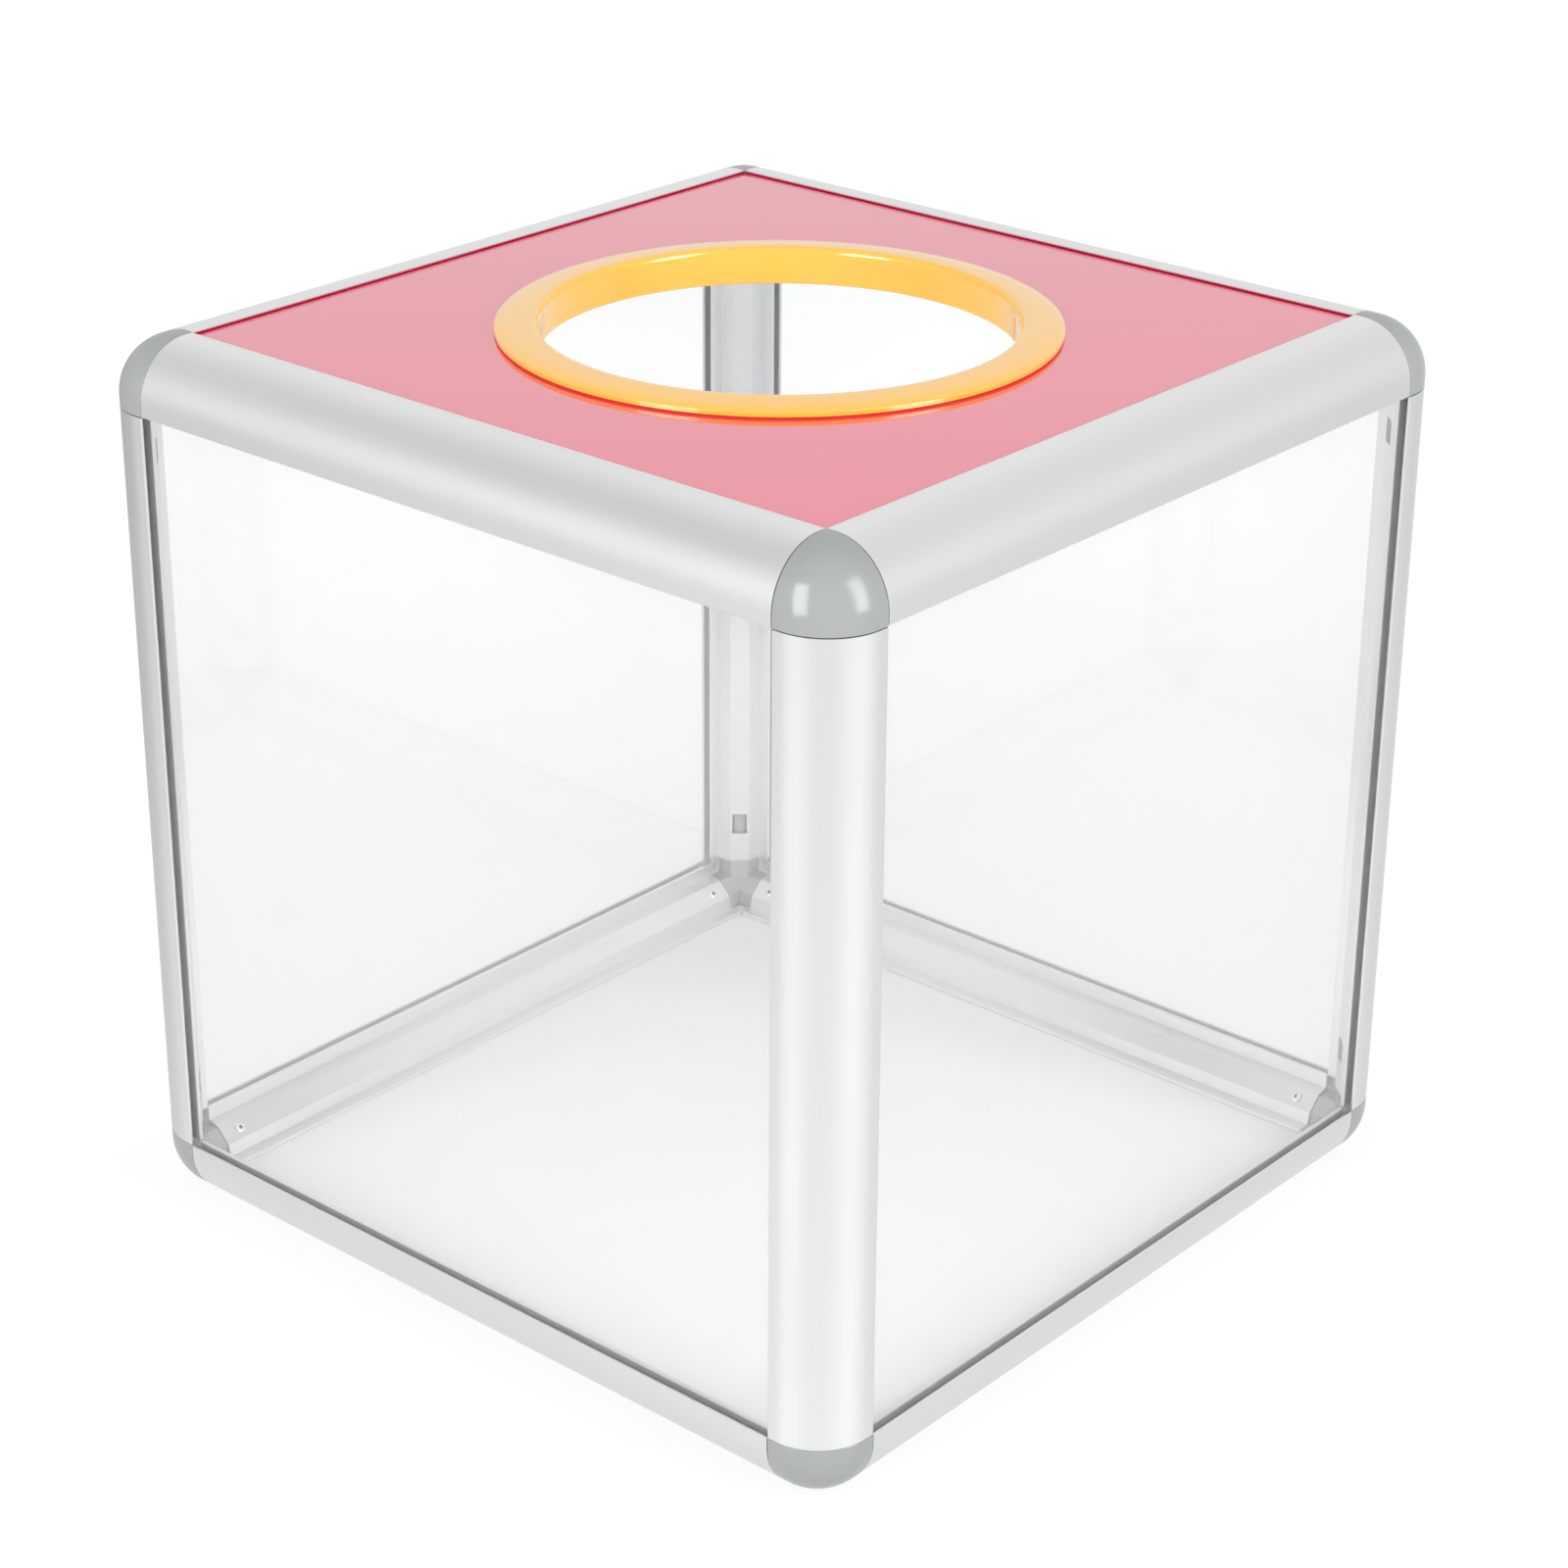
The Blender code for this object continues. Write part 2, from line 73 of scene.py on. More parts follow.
# Light: a softbox has an azimuth from +X, an elevation, the two angles that it fills and a tilt, all in
# degrees, and a radiance. A ray's depth counts its bounces, and the limit tells none from one or more.
SOFTBOX_DISTANCE = 1.3
SOFTBOXES = (
    ("softbox_left", (-92, 19, 22, 43, 12), 5.6),
    ("softbox_right", (6, 23, 21, 45, 0), 5.6),
)
WORLD_SCATTERED = 0.46
SCATTERED_INSIDE_SHARE = 1.18
WORLD_BEHIND = 1.03
WORLD_THROUGH = 1.0
WORLD_MIRRORED = 0.815
WORLD_MIRRORED_INSIDE = 0.80
NO_BOUNCE_LIMIT = 0.5

# Where light mirrored outside the walls differs: azimuth and elevation in degrees, strength, tightness
WORLD_LOBES = (
    (-155, 48, -0.18, 7.0),
    (-121, 11, 0.34, 16.0),
    (131, 25, 0.07, 8.0),
    (75, 42, -0.05, 6.0),
    (42, 12, 0.17, 24.0),
    (-102, -32, 0.34, 17.0),
    (5, -31, 0.33, 11.0),
    (-50, -50, 0.25, 16.0),
    (158, -12, -0.38, 26.0),
    (-176, -10, -0.36, 24.0),
    (-154, -10, -0.30, 24.0),
    (-140, -12, -0.10, 24.0),
    (66, -8, -0.17, 16.0),
)

# Floor: what the camera sees is white apart from a share of the shadow, and mirrored light passes it
FLOOR_COLOUR = (0.85, 0.85, 0.86, 1.0)
FLOOR_SHADOW_SHARE = 0.2
FLOOR_WHITE_NEAR = 1.06
FLOOR_WHITE_FAR = 1.25
# Seen through the clear walls the floor is painted darker near the box and lighter far off: painted shade
# around the box
FLOOR_THROUGH_NEAR = 0.86
FLOOR_THROUGH_FAR = 1.20
FLOOR_NEAR_DISTANCE = 0.05
FLOOR_FAR_DISTANCE = 0.60
FLOOR_RADIUS = 6.0
FLOOR_STEPS = 96
FLOOR_DROP = 0.0002

# Frame section, in the distances inward from the two outer faces
LIP_FLAT = 0.002
PROFILE_WALL = 0.001
OUTER_LIP = 0.0007
SLOT_DEPTH_SHARE = 0.29
SLOT_INNER = 0.0036
INNER_LIP = 0.001
RIDGE_SETBACK = 0.0011
RIDGE_LEAN = 0.0007
CHAMBER_CUT_SHARE = 0.22
OUTER_ARC_STEPS = 40
INNER_ARC_STEPS = 12
LIP_ROUND = 0.00022
OUTER_LIP_ROUND = 0.00045
GROOVE_ROUND = 0.00012
RIDGE_ROUND = 0.00035
FILLET_STEPS = 3
SAW_CUT_ROUND = 0.00012
EASE_START_SHARE = 0.3
MEMBER_GROWTH = 0.0001

# Corners
CORNER_STEPS = 24
CORNER_EDGE_ROUND = 0.00025
CORNER_EDGE_STEPS = 3
CORNER_SETBACK = 0.00035
CORNER_GROWTH = 0.0001
TENON_CLEARANCE = 0.0003
TENON_LEAD = 0.0008
TENON_ROOT_SHARE = 0.7
TENON_END = 0.0332

# Snap windows and rivets
WINDOW_END_DISTANCE = 0.01045
WINDOW_HEIGHT = 0.0055
WINDOW_MARGIN = 0.0004
WINDOW_ROUND = 0.0007
RIVET_END_DISTANCE = 0.0047
RIVET_HEAD_RADIUS = 0.0012
RIVET_HEAD_HEIGHT = 0.0006
RIVET_RIM_HEIGHT = 0.00012
RIVET_DIMPLE_RADIUS = 0.0005
RIVET_DIMPLE_DEPTH = 0.0007
RIVET_DIMPLE_FLOOR_SHARE = 0.8
RIVET_SHANK_RADIUS = 0.0007
RIVET_SHANK_LENGTH = 0.0036
RIVET_CLEARANCE = 0.0003
RIVET_GAP = 0.00002
RIVET_STEPS = 40
RIVET_DOME_STEPS = 10

# Panels
PANEL_GAP = 0.00012
PANEL_EDGE_ROUND = 0.00015

# Ring
RING_BORE_RADIUS = 0.050
RING_SKIRT_WALL = 0.002
RING_FLANGE_WIDTH = 0.007
RING_GAP = 0.00005
RING_EDGE_HEIGHT = 0.0011
RING_UNDERCUT = 0.0002
RING_FOOT_SETBACK = 0.0025
RING_LIP_ROUND = 0.0014
RING_BELOW_PANEL = 0.0038
RING_STEPS = 256
RING_DOME_STEPS = 20
RING_LIP_STEPS = 8
CLIP_COUNT = 2
CLIP_BEARING = math.radians(45)
CLIP_WIDTH = 0.010
CLIP_BARB_MARGIN = 0.001
CLIP_SLIT = 0.0008
CLIP_SLIT_TOP = 0.0005
CLIP_REACH = 0.0011
CLIP_EDGE = 0.0006

# Materials: the parts of a noise's range that are used, and a stretch that keeps it alike all round
NOISE_RANGE = (0.3, 0.7)
HAZE_RANGE = (0.35, 0.75)
EVENLY = (1.0, 1.0, 1.0)
WHITE = (1, 1, 1, 1)

# Mesh making: a cutter's reach past a face, what counts as one point, as an edge and as square to an axis,
# the least share that a step keeps where an outline turns sharply, and the profile of a round bevel
OVERRUN = 0.001
MERGE_DISTANCE = 0.000002
SHARP_ANGLE = math.radians(40)
SQUARE_ON = 0.99
NEARLY_SQUARE_ON = 0.9
LEAST_SPREAD_SHARE = 0.5
ROUND_PROFILE = 0.5

# Sizes taken from the frame
POST_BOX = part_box("post_front_left")
HALF_EDGE = -POST_BOX[0][0]
PROFILE_SIZE = POST_BOX[1][0] - POST_BOX[0][0]
MEMBER_LENGTH = POST_BOX[1][2] - POST_BOX[0][2]
LID_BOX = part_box("top_panel")
WALL_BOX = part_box("side_panel_front")
PANEL_HALF = LID_BOX[1][0]
PANEL_THICKNESS = WALL_BOX[1][1] - WALL_BOX[0][1]
RING_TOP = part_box("hand_hole_ring")[1][2]

# Places worked out from the sizes above
ARC_RADIUS = PROFILE_SIZE - LIP_FLAT
CHAMBER_RADIUS = ARC_RADIUS - PROFILE_WALL
SLOT_FLOOR = PROFILE_SIZE * (1 - SLOT_DEPTH_SHARE)
LIP_FACE = SLOT_INNER + INNER_LIP
RIDGE_FOOT = SLOT_FLOOR + RIDGE_SETBACK
RIDGE_TOP = RIDGE_FOOT - RIDGE_LEAN
CHAMBER_SIDE = SLOT_FLOOR - PROFILE_WALL
CHAMBER_SUM = CHAMBER_SIDE * (2 - CHAMBER_CUT_SHARE)
CHAMFER_SUM = CHAMBER_SUM + PROFILE_WALL * math.sqrt(2)
CHAMFER_WIDTH = (2 * RIDGE_TOP - CHAMFER_SUM) * math.sqrt(2)
CORNER_SUM = CHAMFER_SUM - CORNER_SETBACK * math.sqrt(2)
WINDOW_PLACE = MEMBER_LENGTH / 2 - WINDOW_END_DISTANCE
WINDOW_WIDTH = CHAMFER_WIDTH - 2 * WINDOW_MARGIN
RIVET_PLACE = MEMBER_LENGTH / 2 - RIVET_END_DISTANCE
RIVET_HOLE_RADIUS = RIVET_SHANK_RADIUS + RIVET_CLEARANCE
RIVET_INSET = HALF_EDGE - RIVET_PLACE
TENON_RADIUS = CHAMBER_RADIUS - TENON_CLEARANCE
TENON_SIDE = CHAMBER_SIDE - TENON_CLEARANCE
TENON_SUM = CHAMBER_SUM - TENON_CLEARANCE * math.sqrt(2)
TENON_ROOT = ARC_RADIUS - TENON_ROOT_SHARE * math.sqrt(ARC_RADIUS**2 - TENON_RADIUS**2)
PANEL_ON_INNER_LIP = SLOT_INNER - PANEL_GAP - PANEL_THICKNESS
PANEL_ON_OUTER_LIP = OUTER_LIP + PANEL_GAP
LID_FACE = 2 * HALF_EDGE - PANEL_ON_OUTER_LIP
RING_CREST_HEIGHT = RING_TOP - LID_FACE
SKIRT_RADIUS = RING_BORE_RADIUS + RING_SKIRT_WALL
RING_FLANGE_RADIUS = SKIRT_RADIUS + RING_FLANGE_WIDTH
PANEL_HOLE_RADIUS = SKIRT_RADIUS + CLIP_EDGE / 2
SKIRT_BOTTOM = -(PANEL_THICKNESS + RING_BELOW_PANEL)
CLIP_TOP = -(PANEL_THICKNESS + RING_GAP)

INTO_BOX = {
    "left": Vector((1, 0, 0)),
    "right": Vector((-1, 0, 0)),
    "front": Vector((0, 1, 0)),
    "back": Vector((0, -1, 0)),
    "bottom": Vector((0, 0, 1)),
    "top": Vector((0, 0, -1)),
}
BOX_MIDDLE = Vector((0, 0, HALF_EDGE))
SIDES = ("front", "back", "left", "right")
LEVELS = ("bottom", "top")
CORNERS = tuple(itertools.product(("front", "back"), ("left", "right")))

# A turn of a corner's axes that puts each of them in the place of the next
CYCLE = Matrix(((0, 0, 1, 0), (1, 0, 0, 0), (0, 1, 0, 0), (0, 0, 0, 1)))

BODY_OF = {name: body for body, names in frame["record"]["behaviour"]["bodies"].items() for name in names}


# Shader nodes
def node(tree, kind, inputs=(), **settings):
    """Adds a node; its inputs take a value, or the socket that feeds them."""
    made = tree.nodes.new(kind)
    for name, value in settings.items():
        setattr(made, name, value)
    for socket, value in dict(inputs).items():
        if isinstance(value, bpy.types.NodeSocket):
            tree.links.new(value, made.inputs[socket])
        else:
            made.inputs[socket].default_value = value
    return made


def empty_tree(owner):
    owner.use_nodes = True
    owner.node_tree.nodes.clear()
    return owner.node_tree


def maths(tree, operation, first, second=0.0, third=0.0):
    made = node(tree, "ShaderNodeMath", {0: first, 1: second, 2: third}, operation=operation)
    return made.outputs[0]


def ranged(tree, value, low, high, to_low, to_high):
    made = node(tree, "ShaderNodeMapRange", {
        "Value": value, "From Min": low, "From Max": high, "To Min": to_low, "To Max": to_high,
    }, interpolation_type="SMOOTHSTEP")
    return made.outputs[0]


def brightest(tree, *values):
    made = values[0]
    for value in values[1:]:
        made = maths(tree, "MAXIMUM", made, value)
    return made


# Surroundings
def way_to(azimuth, elevation):
    """The unit vector that points there."""
    level = math.cos(elevation)
    return Vector((math.cos(azimuth) * level, math.sin(azimuth) * level, math.sin(elevation)))


def ray_kinds(tree):
    """1 or 0 for a ray seen, through clear walls, mirrored outside or inside them; a scattered share."""
    rays = node(tree, "ShaderNodeLightPath").outputs
    unscattered = maths(tree, "LESS_THAN", rays["Diffuse Depth"], NO_BOUNCE_LIMIT)
    unmirrored = maths(tree, "LESS_THAN", rays["Glossy Depth"], NO_BOUNCE_LIMIT)
    behind_wall = maths(tree, "GREATER_THAN", rays["Transmission Depth"], NO_BOUNCE_LIMIT)
    direct = maths(tree, "MULTIPLY", unscattered, unmirrored)
    through = maths(tree, "MULTIPLY", rays["Is Transmission Ray"], direct)
    mirrored = maths(tree, "SUBTRACT", unscattered, direct)
    inside = maths(tree, "MULTIPLY", mirrored, behind_wall)
    outside = maths(tree, "SUBTRACT", mirrored, inside)
    scattered = maths(tree, "MULTIPLY_ADD", rays["Is Transmission Ray"], SCATTERED_INSIDE_SHARE - 1, 1.0)
    return rays["Is Camera Ray"], through, outside, inside, scattered


def lobes(tree, way, level, rows):
    """A level, raised or lowered around some directions."""
    for azimuth, elevation, strength, tightness in rows:
        middle = way_to(math.radians(azimuth), math.radians(elevation))
        towards = node(tree, "ShaderNodeVectorMath", {0: way, 1: middle}, operation="DOT_PRODUCT")
        facing = maths(tree, "MAXIMUM", towards.outputs["Value"], 0.0)
        level = maths(tree, "MULTIPLY_ADD", maths(tree, "POWER", facing, tightness), strength, level)
    return level


def make_world():
    """White behind the box, and dimmer where only mirrored or scattered light asks for it."""
    world = bpy.data.worlds.new("studio")
    bpy.context.scene.world = world
    tree = empty_tree(world)
    camera, through, outside, inside, scattered = ray_kinds(tree)
    way = node(tree, "ShaderNodeTexCoord").outputs["Generated"]
    strength = brightest(
        tree,
        maths(tree, "MULTIPLY", camera, WORLD_BEHIND),
        maths(tree, "MULTIPLY", through, WORLD_THROUGH),
        maths(tree, "MULTIPLY", outside, lobes(tree, way, WORLD_MIRRORED, WORLD_LOBES)),
        maths(tree, "MULTIPLY", inside, WORLD_MIRRORED_INSIDE),
        maths(tree, "MULTIPLY", scattered, WORLD_SCATTERED),
    )
    background = node(tree, "ShaderNodeBackground", {"Color": WHITE, "Strength": strength})
    node(tree, "ShaderNodeOutputWorld", {"Surface": background.outputs[0]})


def make_softbox(name, degrees, radiance):
    azimuth, elevation, width, height, tilt = (math.radians(angle) for angle in degrees)
    lamp = bpy.data.lights.new(name, "AREA")
    lamp.shape = "RECTANGLE"
    lamp.size = 2 * SOFTBOX_DISTANCE * math.tan(width / 2)
    lamp.size_y = 2 * SOFTBOX_DISTANCE * math.tan(height / 2)
    lamp.energy = radiance * math.pi * lamp.size * lamp.size_y
    out = way_to(azimuth, elevation)
    holder = bpy.data.objects.new(name, lamp)
    holder.location = BOX_MIDDLE + SOFTBOX_DISTANCE * out
    turn = out.to_track_quat("Z", "Y") @ Quaternion((0, 0, 1), tilt)
    holder.rotation_euler = turn.to_euler()
    holder.visible_camera = False
    holder.visible_transmission = False
    bpy.context.scene.collection.objects.link(holder)


def floor_material():
    material = bpy.data.materials.new("floor")
    tree = empty_tree(material)
    camera, through, outside, inside, _ = ray_kinds(tree)
    place = node(tree, "ShaderNodeTexCoord").outputs["Object"]
    distance = node(tree, "ShaderNodeVectorMath", {0: place}, operation="LENGTH").outputs["Value"]
    span = (FLOOR_NEAR_DISTANCE, FLOOR_FAR_DISTANCE)
    beside = ranged(tree, distance, *span, FLOOR_WHITE_NEAR, FLOOR_WHITE_FAR)
    # Painted shade: for rays through the walls, the floor is darker near the box
    beyond = ranged(tree, distance, *span, FLOOR_THROUGH_NEAR, FLOOR_THROUGH_FAR)
    strength = brightest(
        tree,
        maths(tree, "MULTIPLY", camera, beside),
        maths(tree, "MULTIPLY", through, beyond),
    )
    white = node(tree, "ShaderNodeEmission", {"Strength": strength})
    shadowed = node(tree, "ShaderNodeBsdfDiffuse", {"Color": WHITE})
    plain = node(tree, "ShaderNodeBsdfDiffuse", {"Color": FLOOR_COLOUR})
    looked_at = node(tree, "ShaderNodeMixShader", {
        0: FLOOR_SHADOW_SHARE, 1: white.outputs[0], 2: shadowed.outputs[0],
    })
    seen = brightest(tree, camera, through)
    either = node(tree, "ShaderNodeMixShader", {0: seen, 1: plain.outputs[0], 2: looked_at.outputs[0]})
    absent = node(tree, "ShaderNodeBsdfTransparent")
    mirrored = brightest(tree, outside, inside)
    surface = node(tree, "ShaderNodeMixShader", {0: mirrored, 1: either.outputs[0], 2: absent.outputs[0]})
    node(tree, "ShaderNodeOutputMaterial", {"Surface": surface.outputs[0]})
    return material


def make_floor():
    bm = bmesh.new()
    bmesh.ops.create_circle(bm, cap_ends=True, radius=FLOOR_RADIUS, segments=FLOOR_STEPS)
    mesh = bpy.data.meshes.new("floor")
    bm.to_mesh(mesh)
    bm.free()
    floor = bpy.data.objects.new("floor", mesh)
    floor.location.z = -FLOOR_DROP
    bpy.context.scene.collection.objects.link(floor)
    mesh.materials.append(floor_material())
    floor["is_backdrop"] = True


def make_camera():
    forward = Vector((
        -math.sin(CAMERA_YAW) * math.cos(CAMERA_PITCH),
        math.cos(CAMERA_YAW) * math.cos(CAMERA_PITCH),
        -math.sin(CAMERA_PITCH),
    ))
    level = Vector((math.cos(CAMERA_YAW), math.sin(CAMERA_YAW), 0))
    upright = level.cross(forward)
    across = math.cos(CAMERA_ROLL) * level + math.sin(CAMERA_ROLL) * upright
    up = math.cos(CAMERA_ROLL) * upright - math.sin(CAMERA_ROLL) * level
    data = bpy.data.cameras.new("camera")
    data.lens = CAMERA_LENS
    data.sensor_width = CAMERA_SENSOR
    camera = bpy.data.objects.new("camera", data)
    rows = Matrix((across, up, -forward)).transposed().to_4x4()
    camera.matrix_world = Matrix.Translation(CAMERA_PLACE) @ rows
    bpy.context.scene.collection.objects.link(camera)
    bpy.context.scene.camera = camera


# Materials
def noise(tree, stretch, scale, detail=2.0):
    """Noise in the piece's own axes, drawn out along them by the stretch."""
    place = node(tree, "ShaderNodeTexCoord").outputs["Object"]
    drawn = node(tree, "ShaderNodeVectorMath", {0: place, 1: stretch}, operation="MULTIPLY").outputs[0]
    made = node(tree, "ShaderNodeTexNoise", {"Vector": drawn, "Scale": scale, "Detail": detail})
    return made.outputs["Fac"]


def bump(tree, height, distance, strength=1.0):
    made = node(tree, "ShaderNodeBump", {"Height": height, "Distance": distance, "Strength": strength})
    return made.outputs[0]


def principled(tree, inputs):
    return node(tree, "ShaderNodeBsdfPrincipled", inputs)


def finish_material(tree, shader):
    node(tree, "ShaderNodeOutputMaterial", {"Surface": shader.outputs[0]})


def aluminium():
    """Satin anodised, with fine lines along the draw and a duller, cloudier patch here and there."""
    material = bpy.data.materials.new("satin_aluminium")
    tree = empty_tree(material)
    lines = noise(tree, (1.0, 1.0, 0.012), 3200.0, 3.0)
    clouds = noise(tree, (1.0, 1.0, 0.25), 90.0)
    mixed = maths(tree, "MULTIPLY_ADD", lines, 0.6, maths(tree, "MULTIPLY", clouds, 0.4))
    finish_material(tree, principled(tree, {
        "Base Color": (0.905, 0.91, 0.915, 1),
        "Metallic": 1.0,
        "Roughness": ranged(tree, mixed, *NOISE_RANGE, 0.27, 0.35),
        "Anisotropic": 0.7,
        "Tangent": node(tree, "ShaderNodeTangent", direction_type="RADIAL", axis="Z").outputs[0],
        "Normal": bump(tree, lines, 0.000001, 0.5),
    }))
    return material


def rivet_metal():
    material = bpy.data.materials.new("bright_rivet")
    tree = empty_tree(material)
    dents = noise(tree, EVENLY, 2200.0)
    finish_material(tree, principled(tree, {
        # The near-white, part-metal finish is partly a painted highlight: it lifts the head above the frame
        # around it
        "Base Color": (0.98, 0.98, 0.985, 1),
        "Metallic": 0.6,
        "Roughness": ranged(tree, dents, *NOISE_RANGE, 0.16, 0.28),
        "Normal": bump(tree, dents, 0.00001, 0.5),
    }))
    return material


def mandrel_steel():
    """The broken end of the pin in the middle of a rivet's head, made near black so that it also paints the
    shade of the hollow.
    """
    material = bpy.data.materials.new("mandrel_steel")
    tree = empty_tree(material)
    pits = noise(tree, EVENLY, 3000.0)
    finish_material(tree, principled(tree, {
        "Base Color": (0.10, 0.10, 0.105, 1),
        "Metallic": 0.6,
        "Roughness": ranged(tree, pits, *NOISE_RANGE, 0.45, 0.65),
        "Normal": bump(tree, pits, 0.00002, 0.6),
    }))
    return material


def grey_plastic():
    """Glossy moulded grey with a trace of flow marks and fine grain."""
    material = bpy.data.materials.new("grey_plastic")
    tree = empty_tree(material)
    flow = noise(tree, EVENLY, 130.0)
    grain = noise(tree, EVENLY, 2600.0)
    finish_material(tree, principled(tree, {
        "Base Color": (0.381, 0.403, 0.398, 1),
        "Roughness": ranged(tree, flow, *NOISE_RANGE, 0.17, 0.25),
        "IOR": 1.62,
        "Normal": bump(tree, grain, 0.000003, 0.5),
    }))
    return material


def clear_mix(tree, glass):
    """Clear plastic that lets lamp light through as it is."""
    clear = node(tree, "ShaderNodeBsdfTransparent", {"Color": (0.95, 0.955, 0.955, 1)})
    rays = node(tree, "ShaderNodeLightPath").outputs
    return node(tree, "ShaderNodeMixShader", {
        0: rays["Is Shadow Ray"], 1: glass.outputs[0], 2: clear.outputs[0],
    })


def clear_acrylic():
    """Polished sheet, with the faint waves and handling haze of cast acrylic."""
    material = bpy.data.materials.new("clear_acrylic")
    tree = empty_tree(material)
    haze = noise(tree, EVENLY, 40.0)
    waves = noise(tree, EVENLY, 16.0)
    glass = principled(tree, {
        "Base Color": (0.995, 0.997, 1.0, 1),
        "Roughness": ranged(tree, haze, *HAZE_RANGE, 0.0, 0.012),
        "IOR": 1.49,
        "Transmission Weight": 0.92,
        "Normal": bump(tree, waves, 0.00001, 0.3),
    })
    finish_material(tree, clear_mix(tree, glass))
    return material


def sawn_acrylic():
    """The sheet's cut edge: frosted by the saw."""
    material = bpy.data.materials.new("sawn_acrylic")
    tree = empty_tree(material)
    marks = noise(tree, (1.0, 1.0, 0.2), 1800.0)
    glass = principled(tree, {
        "Base Color": (0.95, 0.96, 0.96, 1),
        "Roughness": ranged(tree, marks, *NOISE_RANGE, 0.35, 0.55),
        "IOR": 1.49,
        "Transmission Weight": 0.6,
        "Normal": bump(tree, marks, 0.00002, 0.5),
    })
    finish_material(tree, clear_mix(tree, glass))
    return material


def red_acrylic():
    """Deep gloss with slight ripples, a few smudges and a thick clear surface."""
    material = bpy.data.materials.new("red_acrylic")
    tree = empty_tree(material)
    smudges = noise(tree, EVENLY, 55.0, 4.0)
    ripples = noise(tree, EVENLY, 22.0)
    finish_material(tree, principled(tree, {
        "Base Color": (1.0, 0.02, 0.125, 1),
        "Roughness": ranged(tree, smudges, *HAZE_RANGE, 0.03, 0.07),
        "IOR": 1.9,
        "Coat Weight": 1.0,
        "Coat IOR": 1.7,
        "Coat Roughness": 0.02,
        "Normal": bump(tree, ripples, 0.00001, 0.3),
    }))
    return material


def white_board(name, colour):
    """Satin white, with the faint tooth of pressed board."""
    material = bpy.data.materials.new(name)
    tree = empty_tree(material)
    tooth = noise(tree, EVENLY, 900.0, 3.0)
    finish_material(tree, principled(tree, {
        "Base Color": colour,
        "Roughness": ranged(tree, tooth, *NOISE_RANGE, 0.35, 0.5),
        "Normal": bump(tree, tooth, 0.00001, 0.4),
    }))
    return material


def yellow_plastic():
    """Glossy moulded yellow orange, with a faint painted glow (emission) that lifts its shaded sides."""
    material = bpy.data.materials.new("yellow_plastic")
    tree = empty_tree(material)
    flow = noise(tree, EVENLY, 70.0)
    grain = noise(tree, EVENLY, 1500.0)
    finish_material(tree, principled(tree, {
        "Base Color": (1.0, 0.55, 0.05, 1),
        "Roughness": ranged(tree, flow, *NOISE_RANGE, 0.14, 0.22),
        "IOR": 1.55,
        "Coat Weight": 1.0,
        "Coat IOR": 1.6,
        "Coat Roughness": 0.08,
        # Painted glow: a faint orange emission that lightens the ring where it would be in shade
        "Emission Color": (1.0, 0.45, 0.04, 1),
        "Emission Strength": 0.15,
        "Normal": bump(tree, grain, 0.000003, 0.5),
    }))
    return material


# Mesh making
def finished_mesh(name, bm, *materials):
    bmesh.ops.recalc_face_normals(bm, faces=bm.faces)
    mesh = bpy.data.meshes.new(name)
    bm.to_mesh(mesh)
    bm.free()
    mesh.shade_smooth()
    mesh.set_sharp_from_angle(angle=SHARP_ANGLE)
    for material in materials:
        mesh.materials.append(material)
    return mesh


def worked_mesh(name, body, material, added=(), cut=()):
    """A new mesh: the body's, with some meshes joined to it and then some taken away."""
    scratch = [bpy.data.objects.new(name, body)]
    for operation, tools in (("UNION", added), ("DIFFERENCE", cut)):
        for tool_mesh in tools:
            tool = bpy.data.objects.new(f"{name}_{operation.lower()}", tool_mesh)
            boolean = scratch[0].modifiers.new(tool.name, "BOOLEAN")
            boolean.operation = operation
            boolean.object = tool
            scratch.append(tool)
    for thing in scratch:
        bpy.context.scene.collection.objects.link(thing)
    bpy.context.view_layer.update()
    seen = scratch[0].evaluated_get(bpy.context.evaluated_depsgraph_get())
    bm = bmesh.new()
    bm.from_mesh(seen.to_mesh())
    for thing in scratch:
        bpy.data.objects.remove(thing)
    for face in bm.faces:
        face.material_index = 0
    return finished_mesh(name, bm, material)


def turned(mesh, matrix):
    """A copy of a mesh, moved by a matrix."""
    copy = mesh.copy()
    copy.transform(matrix)
    return copy


def block(name, low, high):
    """A box between two opposite points."""
    bm = bmesh.new()
    size = Vector(high) - Vector(low)
    middle = (Vector(high) + Vector(low)) / 2
    matrix = Matrix.Translation(middle) @ Matrix.Diagonal(size).to_4x4()
    bmesh.ops.create_cube(bm, size=1.0, matrix=matrix)
    return finished_mesh(name, bm)


def rounded(corners, steps=FILLET_STEPS):
    """A closed outline of (x, y, radius) corners, each drawn as a small round."""
    points = []
    for index, (x, y, radius) in enumerate(corners):
        corner = Vector((x, y))
        if not radius:
            points.append(corner)
            continue
        before = Vector(corners[index - 1][:2]) - corner
        after = Vector(corners[(index + 1) % len(corners)][:2]) - corner
        reach = radius / math.tan(before.angle(after) / 2)
        start = corner + before.normalized() * reach
        end = corner + after.normalized() * reach
        for step in range(steps + 1):
            share = step / steps
            points.append(start.lerp(corner, share).lerp(corner.lerp(end, share), share))
    return points


def inset(points, distance):
    """An outline moved inward; a negative distance moves it outward."""
    area = sum(a.x * b.y - b.x * a.y for a, b in zip(points, points[1:] + points[:1]))
    side = math.copysign(distance, area)
    moved = []
    for index, point in enumerate(points):
        before = (point - points[index - 1]).normalized()
        after = (points[(index + 1) % len(points)] - point).normalized()
        square = Vector((-before.y - after.y, before.x + after.x)).normalized()
        spread = max(square.dot(Vector((-before.y, before.x))), LEAST_SPREAD_SHARE)
        moved.append(point + square * side / spread)
    return moved


def bridged(bm, first, second):
    for index in range(len(first)):
        following = (index + 1) % len(first)
        bm.faces.new((first[index], first[following], second[following], second[index]))


